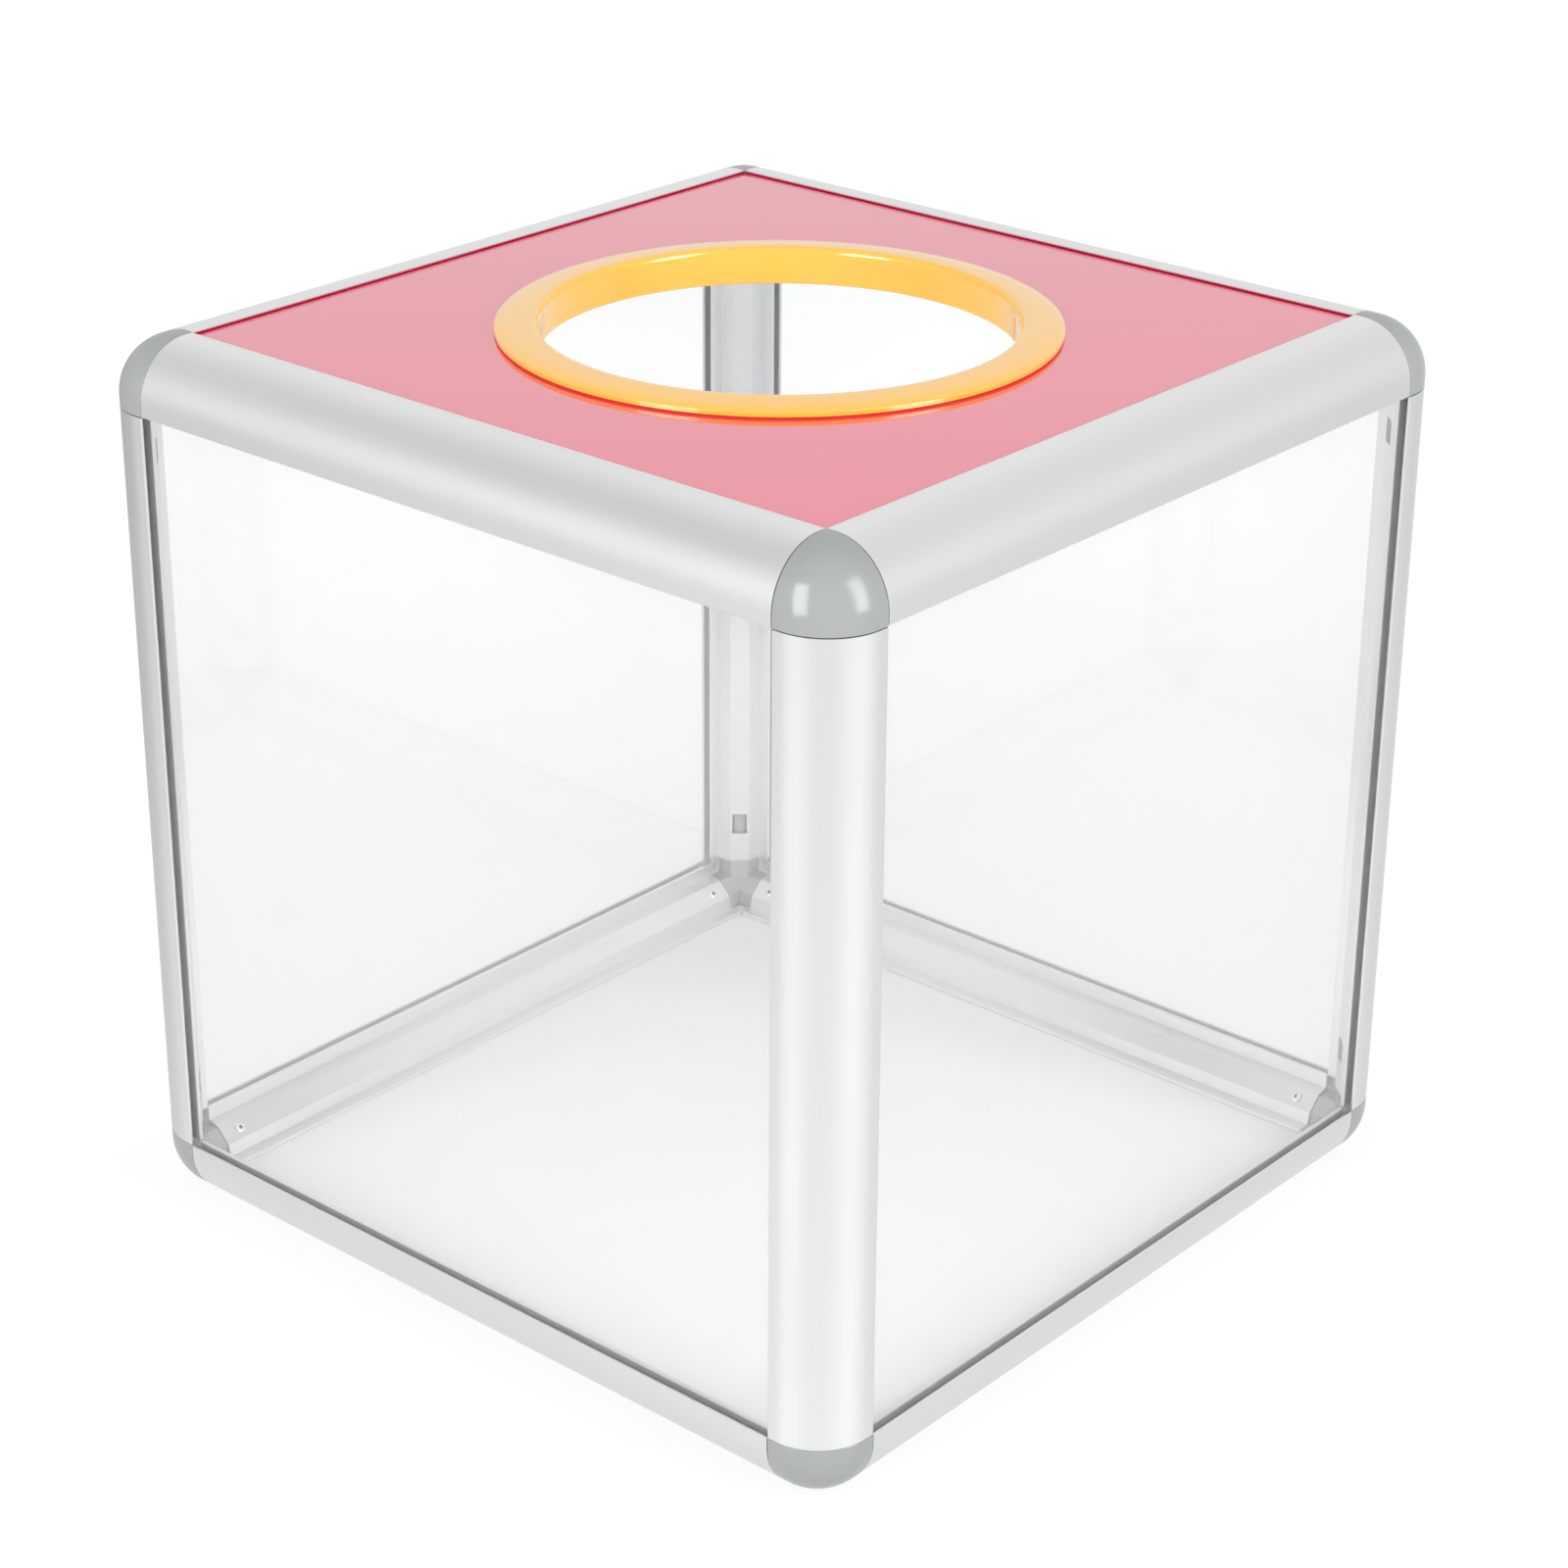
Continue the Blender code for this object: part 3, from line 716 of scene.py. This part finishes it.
def drawn_body(name, outline, holes, low, high, edge_round=0.0):
    """The area inside the outline and outside the holes, drawn out along Z, with its end edges eased."""
    levels = [(low, edge_round)]
    if edge_round:
        start = edge_round * EASE_START_SHARE
        levels += [(low + start, start), (low + edge_round, 0.0)]
    levels += [(high + low - height, ease) for height, ease in reversed(levels)]
    bm = bmesh.new()
    ends = [[], []]
    for points, way in [(outline, 1), *((hole, -1) for hole in holes)]:
        rings = []
        for height, ease in levels:
            moved = inset(points, way * ease) if ease else points
            rings.append([bm.verts.new((*point, height)) for point in moved])
        for first, second in zip(rings, rings[1:]):
            bridged(bm, first, second)
        ends[0].append(rings[0])
        ends[1].append(rings[-1])
    for loops in ends:
        if len(loops) == 1:
            bm.faces.new(loops[0])
        else:
            edges = [
                bm.edges.get(pair) for loop in loops for pair in zip(loop, loop[1:] + loop[:1])
            ]
            bmesh.ops.triangle_fill(bm, edges=edges, use_beauty=True)
    return finished_mesh(name, bm)


def turned_body(name, profile, steps):
    """A profile of (radius, height) points turned about Z, closed at the axis or back on itself."""
    bm = bmesh.new()
    on_axis = profile[0][0] == 0
    points = [bm.verts.new((radius, 0, height)) for radius, height in profile]
    pairs = zip(points, points[1:]) if on_axis else zip(points, points[1:] + points[:1])
    edges = [bm.edges.new(pair) for pair in pairs]
    bmesh.ops.spin(
        bm,
        geom=points + edges,
        cent=(0, 0, 0),
        axis=(0, 0, 1),
        angle=2 * math.pi,
        steps=steps,
        use_merge=True,
    )
    bmesh.ops.remove_doubles(bm, verts=bm.verts, dist=MERGE_DISTANCE)
    return finished_mesh(name, bm)


# Frame members
def section_arc(centre, radius, start, end, steps):
    angles = (start + (end - start) * step / steps for step in range(steps + 1))
    return [(centre - radius * math.sin(angle), centre - radius * math.cos(angle), 0) for angle in angles]


def exchanged(points):
    return [(b, a, radius) for a, b, radius in reversed(points)]


def member_outline():
    half = [
        (RIDGE_TOP, CHAMFER_SUM - RIDGE_TOP, RIDGE_ROUND),
        (RIDGE_FOOT, LIP_FACE, GROOVE_ROUND),
        (PROFILE_SIZE, LIP_FACE, LIP_ROUND),
        (PROFILE_SIZE, SLOT_INNER, LIP_ROUND),
        (SLOT_FLOOR, SLOT_INNER, GROOVE_ROUND),
        (SLOT_FLOOR, OUTER_LIP, GROOVE_ROUND),
        (PROFILE_SIZE, OUTER_LIP, OUTER_LIP_ROUND),
        (PROFILE_SIZE, 0, LIP_ROUND),
    ]
    arc = section_arc(ARC_RADIUS, ARC_RADIUS, 0, math.pi / 2, OUTER_ARC_STEPS)
    return rounded(half + arc + exchanged(half))


def chamber_outline(radius, side, corner_sum):
    start = math.asin((ARC_RADIUS - side) / radius)
    arc = section_arc(ARC_RADIUS, radius, start, math.pi / 2 - start, INNER_ARC_STEPS)
    return rounded([(side, corner_sum - side, 0), *arc, (corner_sum - side, side, 0)])


def chamfer_frame(place):
    """Axes at a place along a member: Z leaves the chamfer's middle, and X runs along the member."""
    out = Vector((1, 1, 0)).normalized()
    along = Vector((0, 0, 1))
    across = out.cross(along)
    rows = Matrix((along, across, out)).transposed().to_4x4()
    return Matrix.Translation((CHAMFER_SUM / 2, CHAMFER_SUM / 2, place)) @ rows


def window_cutter():
    x = WINDOW_HEIGHT / 2
    y = WINDOW_WIDTH / 2
    corners = [(a, b, WINDOW_ROUND) for a, b in ((-x, -y), (x, -y), (x, y), (-x, y))]
    return drawn_body("window_cutter", rounded(corners), [], -PROFILE_WALL - TENON_CLEARANCE, OVERRUN)


def rivet_cutter():
    bottom = -(RIVET_SHANK_LENGTH + RIVET_CLEARANCE)
    profile = [(0, OVERRUN), (RIVET_HOLE_RADIUS, OVERRUN), (RIVET_HOLE_RADIUS, bottom), (0, bottom)]
    return turned_body("rivet_cutter", profile, RIVET_STEPS)


def member_mesh(name, material, cutter, place):
    end = MEMBER_LENGTH / 2 + MEMBER_GROWTH
    hole = chamber_outline(CHAMBER_RADIUS, CHAMBER_SIDE, CHAMBER_SUM)
    body = drawn_body(name, member_outline(), [hole], -end, end, SAW_CUT_ROUND)
    cuts = [turned(cutter, chamfer_frame(way * place)) for way in (-1, 1)]
    return worked_mesh(name, body, material, cut=cuts)


def rivet_mesh(head_material, pin_and_painted_shade_material):
    """A blind rivet: a low dome with a hollow middle, and its shank."""
    top = RIVET_GAP + RIVET_HEAD_HEIGHT
    floor = top - RIVET_DIMPLE_DEPTH
    profile = [(0, floor), (RIVET_DIMPLE_RADIUS * RIVET_DIMPLE_FLOOR_SHARE, floor)]
    for step in range(RIVET_DOME_STEPS + 1):
        angle = math.pi / 2 * step / RIVET_DOME_STEPS
        share = math.sin(angle)
        profile.append((
            RIVET_DIMPLE_RADIUS + (RIVET_HEAD_RADIUS - RIVET_DIMPLE_RADIUS) * share,
            RIVET_GAP + RIVET_RIM_HEIGHT + (RIVET_HEAD_HEIGHT - RIVET_RIM_HEIGHT) * math.cos(angle),
        ))
    profile += [
        (RIVET_HEAD_RADIUS, RIVET_GAP),
        (RIVET_SHANK_RADIUS, RIVET_GAP),
        (RIVET_SHANK_RADIUS, -RIVET_SHANK_LENGTH),
        (0, -RIVET_SHANK_LENGTH),
    ]
    mesh = turned_body("rivet", profile, RIVET_STEPS)
    mesh.materials.append(head_material)
    mesh.materials.append(pin_and_painted_shade_material)
    # The dimple's faces take the near-black pin material, which also paints the shade inside the hollow
    for face in mesh.polygons:
        if face.center.xy.length < RIVET_DIMPLE_RADIUS and face.center.z > 0:
            face.material_index = 1
    return mesh


# Corners
def corner_body():
    """A cube whose three outer edges and outer point are rounded, with eased edges at its three arms."""
    bm = bmesh.new()
    half = PROFILE_SIZE / 2
    bmesh.ops.create_cube(bm, size=PROFILE_SIZE, matrix=Matrix.Translation((half, half, half)))
    outer = min(bm.verts, key=lambda point: point.co.length)
    bmesh.ops.bevel(
        bm,
        geom=[outer, *outer.link_edges],
        offset=ARC_RADIUS,
        offset_type="OFFSET",
        segments=CORNER_STEPS,
        profile=ROUND_PROFILE,
        affect="EDGES",
    )
    for point in bm.verts:
        for axis in range(3):
            if abs(point.co[axis] - PROFILE_SIZE) < MERGE_DISTANCE:
                point.co[axis] = PROFILE_SIZE + CORNER_GROWTH
    facing_in = [face for face in bm.faces if max(face.normal) > NEARLY_SQUARE_ON]
    ends = [face for face in facing_in if min(face.calc_center_median()) > 0]
    rims = {edge for face in ends for edge in face.edges if edge.calc_face_angle(0) > SHARP_ANGLE}
    bmesh.ops.bevel(
        bm,
        geom=list(rims),
        offset=CORNER_EDGE_ROUND,
        offset_type="OFFSET",
        segments=CORNER_EDGE_STEPS,
        profile=ROUND_PROFILE,
        affect="EDGES",
    )
    return finished_mesh("corner_body", bm)


def pocket(direction):
    """The room in a corner for the corner of the panel that lies square to one of its axes."""
    low = Vector((SLOT_FLOOR, SLOT_FLOOR, SLOT_FLOOR))
    low[direction] = OUTER_LIP
    high = PROFILE_SIZE + OVERRUN
    return block("pocket", low, (high, high, high))


def inside_cone():
    """The three planes that set a corner's inner faces back behind the chamfers they join."""
    bm = bmesh.new()
    apex = Vector((CORNER_SUM, CORNER_SUM, CORNER_SUM)) / 2
    reach = 2 * PROFILE_SIZE
    far = [apex + reach * Vector(way) for way in ((-1, 1, 1), (1, -1, 1), (1, 1, -1))]
    bmesh.ops.convex_hull(bm, input=[bm.verts.new(point) for point in (apex, *far)])
    return finished_mesh("inside_cone", bm)


def corner_mesh(material):
    outline = chamber_outline(TENON_RADIUS, TENON_SIDE, TENON_SUM)
    tenon = drawn_body("tenon", outline, [], TENON_ROOT, TENON_END, TENON_LEAD / 2)
    tenons = [turned(tenon, turn) for turn in (Matrix(), CYCLE, CYCLE @ CYCLE)]
    bore = turned(rivet_cutter(), chamfer_frame(RIVET_INSET))
    bores = [turned(bore, turn) for turn in (CYCLE, CYCLE @ CYCLE)]
    pockets = [pocket(direction) for direction in range(3)]
    shell = worked_mesh("corner", corner_body(), None, cut=[*pockets, inside_cone()])
    return worked_mesh("corner", shell, material, added=tenons, cut=bores)


# Panels and ring
def plate_mesh(name, face_material, edge_material, hole_radius=0, back_material=None):
    """A square panel whose outer face is at Z = 0 and whose inner face is one thickness above it."""
    half = PANEL_HALF
    outline = [Vector(corner) for corner in ((-half, -half), (half, -half), (half, half), (-half, half))]
    holes = []
    if hole_radius:
        angles = [2 * math.pi * step / RING_STEPS for step in range(RING_STEPS)]
        holes = [[hole_radius * Vector((math.cos(turn), math.sin(turn))) for turn in angles]]
    mesh = drawn_body(name, outline, holes, 0, PANEL_THICKNESS, PANEL_EDGE_ROUND)
    for material in (face_material, edge_material, back_material or face_material):
        mesh.materials.append(material)
    for face in mesh.polygons:
        if face.normal.z > SQUARE_ON:
            face.material_index = 2
        elif face.normal.z > -SQUARE_ON:
            face.material_index = 1
    return mesh


def ring_profile():
    """The ring's section, with heights counted from the panel's upper face."""
    edge_top = RING_GAP + RING_EDGE_HEIGHT
    crest_radius = RING_BORE_RADIUS + RING_LIP_ROUND
    underside = RING_GAP + RING_UNDERCUT
    points = [
        (RING_FLANGE_RADIUS - RING_FOOT_SETBACK, RING_GAP),
        (RING_FLANGE_RADIUS - LIP_ROUND, underside),
        (RING_FLANGE_RADIUS, underside + LIP_ROUND),
    ]
    for step in range(RING_DOME_STEPS + 1):
        angle = math.pi / 2 * step / RING_DOME_STEPS
        points.append((
            crest_radius + (RING_FLANGE_RADIUS - crest_radius) * math.cos(angle),
            edge_top + (RING_CREST_HEIGHT - edge_top) * math.sin(angle),
        ))
    for step in range(1, RING_LIP_STEPS + 1):
        angle = math.pi / 2 * step / RING_LIP_STEPS
        points.append((
            crest_radius - RING_LIP_ROUND * math.sin(angle),
            RING_CREST_HEIGHT - RING_LIP_ROUND * (1 - math.cos(angle)),
        ))
    points += [
        (RING_BORE_RADIUS, SKIRT_BOTTOM + LIP_ROUND),
        (RING_BORE_RADIUS + LIP_ROUND, SKIRT_BOTTOM),
        (SKIRT_RADIUS - LIP_ROUND, SKIRT_BOTTOM),
        (SKIRT_RADIUS, SKIRT_BOTTOM + LIP_ROUND),
        (SKIRT_RADIUS, RING_GAP),
    ]
    return points


def clip_barb():
    """The wedge outside one snap finger, which catches under the panel."""
    root = SKIRT_RADIUS - RING_SKIRT_WALL / 2
    tip = SKIRT_RADIUS + CLIP_REACH
    side = rounded([
        (root, CLIP_TOP, 0),
        (tip, CLIP_TOP, LIP_ROUND),
        (tip, CLIP_TOP - CLIP_EDGE, LIP_ROUND),
        (root, SKIRT_BOTTOM + CLIP_EDGE, 0),
    ])
    half_width = CLIP_WIDTH / 2 - CLIP_BARB_MARGIN
    barb = drawn_body("clip_barb", side, [], -half_width, half_width)
    return turned(barb, Matrix.Rotation(math.pi / 2, 4, "X"))


def clip_slits():
    """The two saw cuts that free one snap finger from the skirt."""
    low = SKIRT_BOTTOM - OVERRUN
    for side in (-1, 1):
        middle = side * (CLIP_WIDTH + CLIP_SLIT) / 2
        yield block(
            "clip_slit",
            (RING_BORE_RADIUS - OVERRUN, middle - CLIP_SLIT / 2, low),
            (SKIRT_RADIUS + OVERRUN, middle + CLIP_SLIT / 2, -CLIP_SLIT_TOP),
        )


def ring_mesh(material):
    bearings = [CLIP_BEARING + 2 * math.pi * index / CLIP_COUNT for index in range(CLIP_COUNT)]
    turns = [Matrix.Rotation(bearing, 4, "Z") for bearing in bearings]
    barbs = [turned(clip_barb(), turn) for turn in turns]
    slits = [turned(slit, turn) for turn in turns for slit in clip_slits()]
    body = turned_body("ring", ring_profile(), RING_STEPS)
    return worked_mesh("ring", body, material, added=barbs, cut=slits)


# Places
def outward(*names):
    """The point of the box's outside that lies farthest towards the named sides."""
    return BOX_MIDDLE - HALF_EDGE * sum((INTO_BOX[name] for name in names), Vector())


def member_matrix(first, second):
    across = (INTO_BOX[first], INTO_BOX[second])
    rows = Matrix((*across, across[0].cross(across[1]))).transposed().to_4x4()
    return Matrix.Translation(outward(first, second)) @ rows


def corner_matrix(level, depth, width):
    across = [INTO_BOX[depth], INTO_BOX[width]]
    if across[0].cross(across[1]).dot(INTO_BOX[level]) < 0:
        across.reverse()
    rows = Matrix((*across, INTO_BOX[level])).transposed().to_4x4()
    return Matrix.Translation(outward(level, depth, width)) @ rows


def panel_matrix(side, depth):
    inward = INTO_BOX[side]
    turn = Vector((0, 0, 1)).rotation_difference(inward).to_matrix().to_4x4()
    return Matrix.Translation(outward(side) + depth * inward) @ turn


def place(node_name, mesh, matrix):
    """A fine piece in the place of its CAD node."""
    piece = bpy.data.objects.new(f"{node_name}.fine", mesh)
    bpy.context.scene.collection.objects.link(piece)
    piece.matrix_world = matrix
    weighted = piece.modifiers.new("weighted", "WEIGHTED_NORMAL")
    weighted.keep_sharp = True
    bpy.context.view_layer.update()
    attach(piece, BODY_OF[node_name])
    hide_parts(node_name)
    return piece


def keep_softboxes_off(pieces):
    """Leaves these pieces to the world's light, because a softbox would turn bare metal plain white."""
    kept = bpy.data.collections.new("kept_from_softboxes")
    for piece in pieces:
        kept.objects.link(piece)
    for row in kept.collection_objects:
        row.light_linking.link_state = "EXCLUDE"
    for name, *_ in SOFTBOXES:
        bpy.data.objects[name].light_linking.receiver_collection = kept


def build_frame_pieces():
    metal = aluminium()
    post = member_mesh("post", metal, window_cutter(), WINDOW_PLACE)
    rail = member_mesh("rail", metal, rivet_cutter(), RIVET_PLACE)
    corner = corner_mesh(grey_plastic())
    rivet = rivet_mesh(rivet_metal(), mandrel_steel())
    members = [place(f"post_{depth}_{width}", post, member_matrix(depth, width)) for depth, width in CORNERS]
    for level, (depth, width) in itertools.product(LEVELS, CORNERS):
        place(f"{level}_corner_{depth}_{width}", corner, corner_matrix(level, depth, width))
    for level, side in itertools.product(LEVELS, SIDES):
        matrix = member_matrix(level, side)
        members.append(place(f"{level}_rail_{side}", rail, matrix))
        for number, way in ((1, -1), (2, 1)):
            place(f"{level}_rivet_{side}_{number}", rivet, matrix @ chamfer_frame(way * RIVET_PLACE))
    keep_softboxes_off(members)


def build_panels():
    board = white_board("white_board", (0.92, 0.925, 0.935, 1))
    underside = white_board("white_underside", (0.94, 0.94, 0.945, 1))
    wall = plate_mesh("side_panel", clear_acrylic(), sawn_acrylic())
    for side in SIDES:
        place(f"side_panel_{side}", wall, panel_matrix(side, PANEL_ON_INNER_LIP))
    bottom = plate_mesh("bottom_panel", board, board)
    place("bottom_panel", bottom, panel_matrix("bottom", PANEL_ON_INNER_LIP))
    lid = plate_mesh("top_panel", red_acrylic(), underside, PANEL_HOLE_RADIUS, underside)
    place("top_panel", lid, panel_matrix("top", PANEL_ON_OUTER_LIP))
    place("hand_hole_ring", ring_mesh(yellow_plastic()), Matrix.Translation((0, 0, LID_FACE)))


make_camera()
make_world()
for softbox in SOFTBOXES:
    make_softbox(*softbox)
make_floor()
build_frame_pieces()
build_panels()

bpy.context.scene.view_settings.view_transform = "Standard"

boxes = [[list(corner) for corner in box] for box in (CAD_BOUNDS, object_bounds())]
